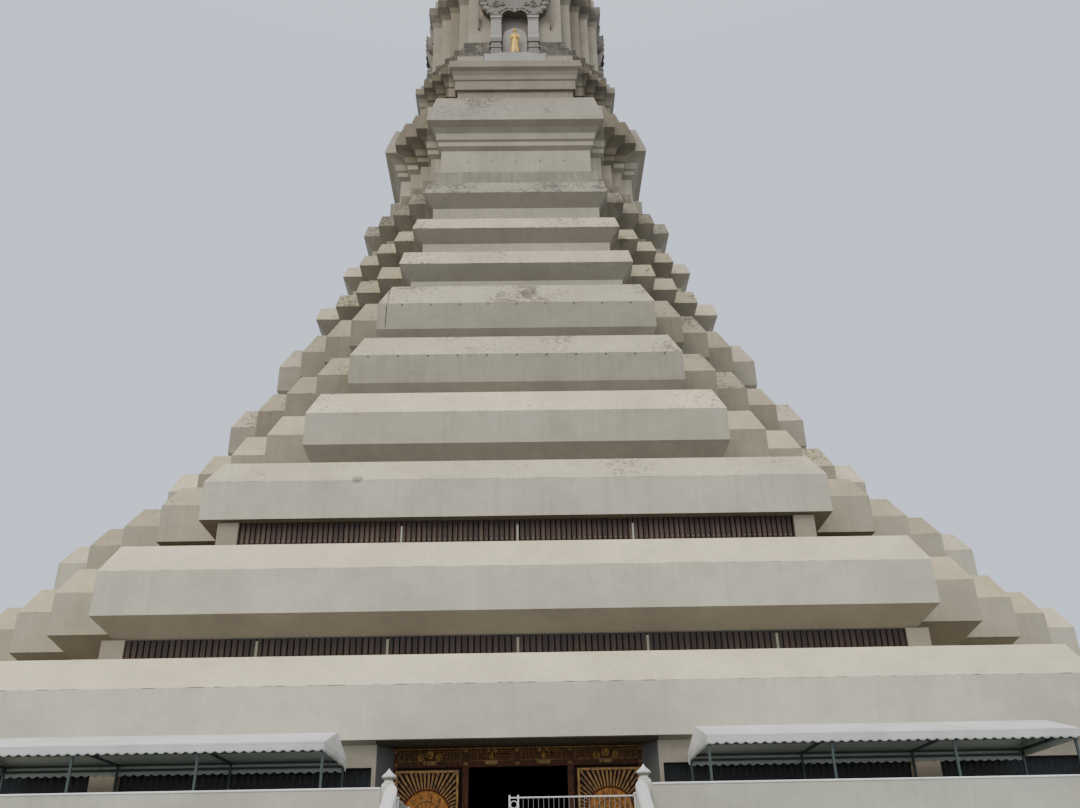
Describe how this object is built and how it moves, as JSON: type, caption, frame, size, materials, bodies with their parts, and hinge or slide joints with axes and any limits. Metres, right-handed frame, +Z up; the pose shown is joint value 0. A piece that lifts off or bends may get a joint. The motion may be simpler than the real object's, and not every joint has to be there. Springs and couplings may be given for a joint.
{
  "type": "stepped concrete stupa, 1:10 scale model",
  "caption": "Redented pyramid stupa in painted concrete with a podium stair, sliding carved doors, window rows, niche storey, bell and ringed spire, as a scale model.",
  "frame": {"origin": "on the tower's axis, at the underside of the podium", "axes": "+Z up, the stair and the front door face -Y, +X to the right when seen from the front"},
  "size_m": [5.2, 5.6803, 9.5],
  "materials": {
    "painted_concrete": "weathered paint",
    "terrace_paving": "cement screed",
    "white_masonry_paint": "masonry paint",
    "white_steel": "gloss enamel",
    "gilded_wood": "carved and gilded",
    "awning_cloth": "coated cloth",
    "gold_leaf": "gold leaf"
  },
  "bodies": {
    "root": {"ground_wall_rear": "painted_concrete", "ground_wall_front_left": "painted_concrete", "ground_wall_front_right": "painted_concrete", "first_tier": "painted_concrete", "second_tier": "painted_concrete", "third_tier": "painted_concrete", "first_floor_wall": "painted_concrete", "second_floor_wall": "painted_concrete", "fourth_tier": "painted_concrete", "fifth_tier": "painted_concrete", "sixth_tier": "painted_concrete", "seventh_tier": "painted_concrete", "eighth_tier": "painted_concrete", "ninth_tier": "painted_concrete", "shaft": "painted_concrete", "lower_cornice": "painted_concrete", "upper_cornice": "painted_concrete", "niche_storey": "painted_concrete", "niche_frame_front": "painted_concrete", "niche_frame_right": "painted_concrete", "niche_frame_back": "painted_concrete", "niche_frame_left": "painted_concrete", "bell_terraces": "painted_concrete", "bell": "painted_concrete", "throne": "painted_concrete", "ringed_spire": "painted_concrete", "spike": "painted_concrete", "podium": "terrace_paving", "front_stair": "terrace_paving", "front_parapet_left": "white_masonry_paint", "front_parapet_right": "white_masonry_paint", "rear_parapet": "white_masonry_paint", "stair_cheek_left": "white_masonry_paint", "stair_cheek_right": "white_masonry_paint", "newel_left": "white_masonry_paint", "newel_right": "white_masonry_paint", "awning_frame_left": "white_steel", "awning_frame_right": "white_steel", "door_screen": "gilded_wood", "awning_cover_left": "awning_cloth", "awning_cover_right": "awning_cloth", "niche_figure_front": "gold_leaf", "niche_figure_right": "gold_leaf", "niche_figure_back": "gold_leaf", "niche_figure_left": "gold_leaf", "umbrella": "gold_leaf"},
    "door_leaf_left": {"door_leaf_left": "gilded_wood"},
    "door_leaf_right": {"door_leaf_right": "gilded_wood"},
    "gate_leaf_left": {"gate_leaf_left": "white_steel"},
    "gate_leaf_right": {"gate_leaf_right": "white_steel"}
  },
  "joints": [
    {"name": "door_slide_left", "type": "slide", "parent": "root", "child": "door_leaf_left", "axis": [1, 0, 0], "range_m": [0, 0.1375]},
    {"name": "door_slide_right", "type": "slide", "parent": "root", "child": "door_leaf_right", "axis": [-1, 0, 0], "range_m": [0, 0.1375]},
    {"name": "gate_hinge_left", "type": "hinge", "parent": "root", "child": "gate_leaf_left", "pos_m": [-0.2395, -2.584, 0.334], "axis": [0, 0, 1], "range_deg": [-90, 0]},
    {"name": "gate_hinge_right", "type": "hinge", "parent": "root", "child": "gate_leaf_right", "pos_m": [0.2395, -2.584, 0.334], "axis": [0, 0, 1], "range_deg": [-90, 0]}
  ]
}
